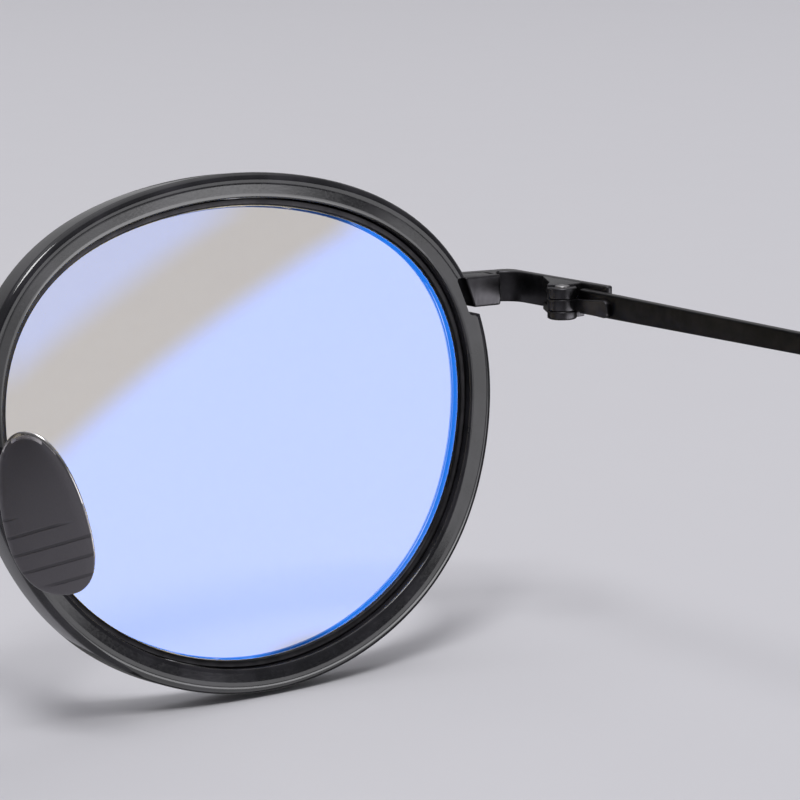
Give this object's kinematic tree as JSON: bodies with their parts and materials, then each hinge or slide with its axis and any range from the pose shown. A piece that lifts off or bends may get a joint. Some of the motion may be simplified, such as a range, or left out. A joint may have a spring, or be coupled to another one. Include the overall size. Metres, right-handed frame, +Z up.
{
  "type": "blue light glasses",
  "caption": "Round panto blue light glasses with thick acetate rims around metal eyewires, an arched bridge, metal nose pads and slim folding metal temples with acetate tips.",
  "frame": {"origin": "centre of the footprint on the surface that the open glasses stand on, touched by the bottoms of both rims and both temple tips", "axes": "+Y back along the open temples, away from the lenses; +X toward the wearer's left; +Z up"},
  "size_m": [0.1332, 0.148, 0.0476],
  "materials": {
    "blue_light_lens": "clear polycarbonate with a blue reflecting coating",
    "dark_metal": "satin black plating",
    "rim_acetate": "polished black acetate",
    "tip_acetate": "polished black acetate",
    "pad_metal": "gunmetal, brushed, with polished edges",
    "screw_steel": "dark plated steel"
  },
  "bodies": {
    "front": {"rim_screws": "screw_steel", "bridge": "dark_metal", "hinge_screws": "screw_steel", "pad_screws": "screw_steel", "lens_right": "blue_light_lens", "lens_left": "blue_light_lens", "eyewire_right": "dark_metal", "eyewire_left": "dark_metal", "acetate_rim_right": "rim_acetate", "acetate_rim_left": "rim_acetate", "lock_upper_right": "dark_metal", "lock_upper_left": "dark_metal", "lock_lower_right": "dark_metal", "lock_lower_left": "dark_metal", "end_piece_right": "dark_metal", "end_piece_left": "dark_metal", "pad_arm_right": "dark_metal", "pad_arm_left": "dark_metal", "pad_box_right": "dark_metal", "pad_box_left": "dark_metal"},
    "temple_right": {"temple_right": "dark_metal", "temple_tip_right": "tip_acetate", "hinge_leaf_right": "dark_metal"},
    "temple_left": {"temple_left": "dark_metal", "temple_tip_left": "tip_acetate", "hinge_leaf_left": "dark_metal"},
    "pad_right": {"nose_pad_right": "pad_metal"},
    "pad_left": {"nose_pad_left": "pad_metal"}
  },
  "joints": [
    {"name": "fold_right", "type": "hinge", "parent": "front", "child": "temple_right", "pos_m": [-0.06376, -0.05749, 0.0341], "axis": [0, 0, -1], "range_deg": [0, 88]},
    {"name": "fold_left", "type": "hinge", "parent": "front", "child": "temple_left", "pos_m": [0.06376, -0.05749, 0.0341], "axis": [0, 0, 1], "range_deg": [0, 80]},
    {"name": "rock_right", "type": "hinge", "parent": "front", "child": "pad_right", "pos_m": [-0.01073, -0.06146, 0.02182], "axis": [0.4891, -0.866, -0.104], "range_deg": [-8, 8]},
    {"name": "rock_left", "type": "hinge", "parent": "front", "child": "pad_left", "pos_m": [0.01073, -0.06146, 0.02182], "axis": [-0.4891, -0.866, -0.104], "range_deg": [-8, 8]}
  ]
}
